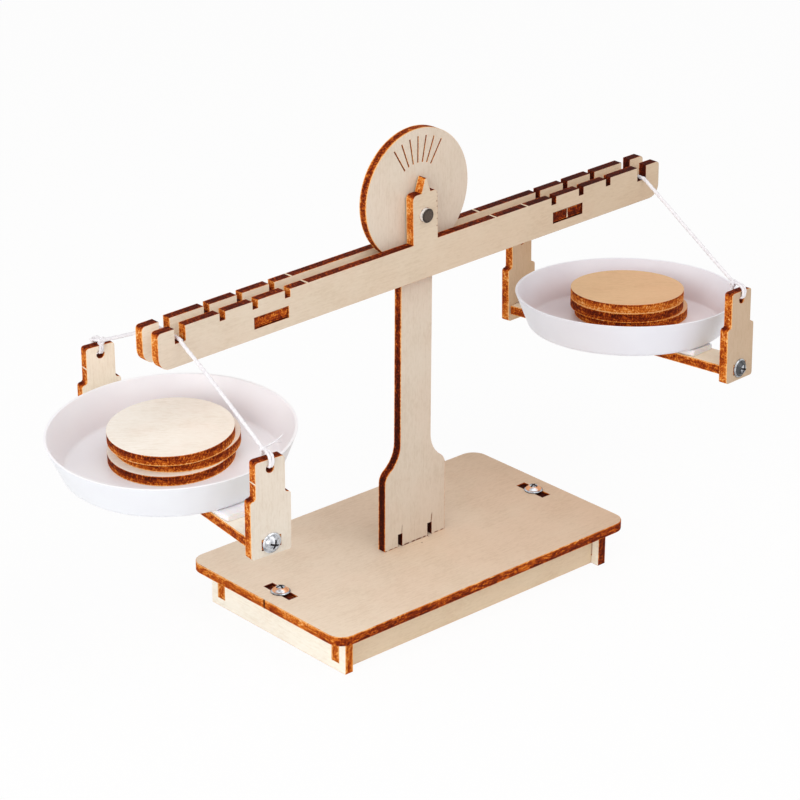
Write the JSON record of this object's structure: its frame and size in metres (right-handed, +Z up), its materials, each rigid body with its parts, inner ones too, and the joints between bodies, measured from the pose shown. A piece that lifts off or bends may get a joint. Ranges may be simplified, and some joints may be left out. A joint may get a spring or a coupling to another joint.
{
  "type": "wooden balance scale toy",
  "caption": "Laser-cut plywood balance scale on a flat base, with a round dial, a notched two-plate beam and two pans hung on cords, each holding loose wooden discs.",
  "frame": {"origin": "centre of the base's underside, on the surface that the scale stands on", "axes": "+X along the beam to the right pan, +Y away from the dial's ticked face, +Z up"},
  "size_m": [0.2557, 0.0971, 0.1487],
  "materials": {
    "laser_cut_plywood": "raw sanded birch or basswood plywood with scorched laser-cut edges",
    "disc_plywood": "raw plywood disc with a scorched laser-cut edge",
    "zinc_screw": "bright zinc plating",
    "steel_pin": "drawn steel, cut ends",
    "white_plastic": "thin white vacuum-formed plastic, soft gloss",
    "white_foam": "matt double-sided foam tape",
    "cotton_cord": "smooth twisted white cord"
  },
  "bodies": {
    "base": {"base_plate": "laser_cut_plywood", "left_end_panel": "laser_cut_plywood", "right_end_panel": "laser_cut_plywood", "front_panel": "laser_cut_plywood", "back_panel": "laser_cut_plywood", "base_screws": "zinc_screw", "post": "laser_cut_plywood", "axle_pin": "steel_pin"},
    "beam": {"front_beam_plate": "laser_cut_plywood", "back_beam_plate": "laser_cut_plywood", "left_spacer": "laser_cut_plywood", "right_spacer": "laser_cut_plywood"},
    "left_cord": {"left_cord": "cotton_cord"},
    "left_pan_frame": {"left_front_hanger": "laser_cut_plywood", "left_back_hanger": "laser_cut_plywood", "left_crossbar": "laser_cut_plywood", "left_hanger_screws": "zinc_screw", "left_foam_pad": "white_foam", "left_pan": "white_plastic"},
    "left_disc_bottom": {"left_disc_bottom": "disc_plywood"},
    "left_disc_middle": {"left_disc_middle": "disc_plywood"},
    "left_disc_top": {"left_disc_top": "disc_plywood"},
    "right_cord": {"right_cord": "cotton_cord"},
    "right_pan_frame": {"right_front_hanger": "laser_cut_plywood", "right_back_hanger": "laser_cut_plywood", "right_crossbar": "laser_cut_plywood", "right_hanger_screws": "zinc_screw", "right_foam_pad": "white_foam", "right_pan": "white_plastic"},
    "right_disc_bottom": {"right_disc_bottom": "disc_plywood"},
    "right_disc_middle": {"right_disc_middle": "disc_plywood"},
    "right_disc_top": {"right_disc_top": "disc_plywood"}
  },
  "joints": [
    {"name": "beam_tilt", "type": "hinge", "parent": "base", "child": "beam", "pos_m": [0, 0, 0.123], "axis": [0, 1, 0], "range_deg": [-23.7, 26.3]},
    {"name": "left_cord_swing", "type": "hinge", "parent": "beam", "child": "left_cord", "pos_m": [-0.0916, 0, 0.1088], "axis": [0, 1, 0], "range_deg": [-26.5, 23.9]},
    {"name": "left_pan_rock", "type": "hinge", "parent": "left_cord", "child": "left_pan_frame", "pos_m": [-0.08988, -0.001, 0.08641], "axis": [0.1132, 0.9932, 0.0262], "range_deg": [-20, 20]},
    {"name": "left_bottom_disc_lift", "type": "slide", "parent": "left_pan_frame", "child": "left_disc_bottom", "axis": [-0.0601, -0.0194, 0.998], "range_m": [0, 0.004]},
    {"name": "left_middle_disc_lift", "type": "slide", "parent": "left_disc_bottom", "child": "left_disc_middle", "axis": [-0.0601, -0.0194, 0.998], "range_m": [0, 0.004]},
    {"name": "left_top_disc_lift", "type": "slide", "parent": "left_disc_middle", "child": "left_disc_top", "axis": [-0.0601, -0.0194, 0.998], "range_m": [0, 0.004]},
    {"name": "right_cord_swing", "type": "hinge", "parent": "beam", "child": "right_cord", "pos_m": [0.0928, 0, 0.1128], "axis": [0, 1, 0], "range_deg": [-26.5, 23.9]},
    {"name": "right_pan_rock", "type": "hinge", "parent": "right_cord", "child": "right_pan_frame", "pos_m": [0.09297, 0.0011, 0.08059], "axis": [-0.0871, 0.9952, -0.0436], "range_deg": [-20, 20]},
    {"name": "right_bottom_disc_lift", "type": "slide", "parent": "right_pan_frame", "child": "right_disc_bottom", "axis": [0.0397, 0.0472, 0.9981], "range_m": [0, 0.004]},
    {"name": "right_middle_disc_lift", "type": "slide", "parent": "right_disc_bottom", "child": "right_disc_middle", "axis": [0.0397, 0.0472, 0.9981], "range_m": [0, 0.004]},
    {"name": "right_top_disc_lift", "type": "slide", "parent": "right_disc_middle", "child": "right_disc_top", "axis": [0.0397, 0.0472, 0.9981], "range_m": [0, 0.004]}
  ],
  "couplings": [
    {"joint": "left_cord_swing", "follows": "beam_tilt", "ratio": -1},
    {"joint": "right_cord_swing", "follows": "beam_tilt", "ratio": -1}
  ]
}
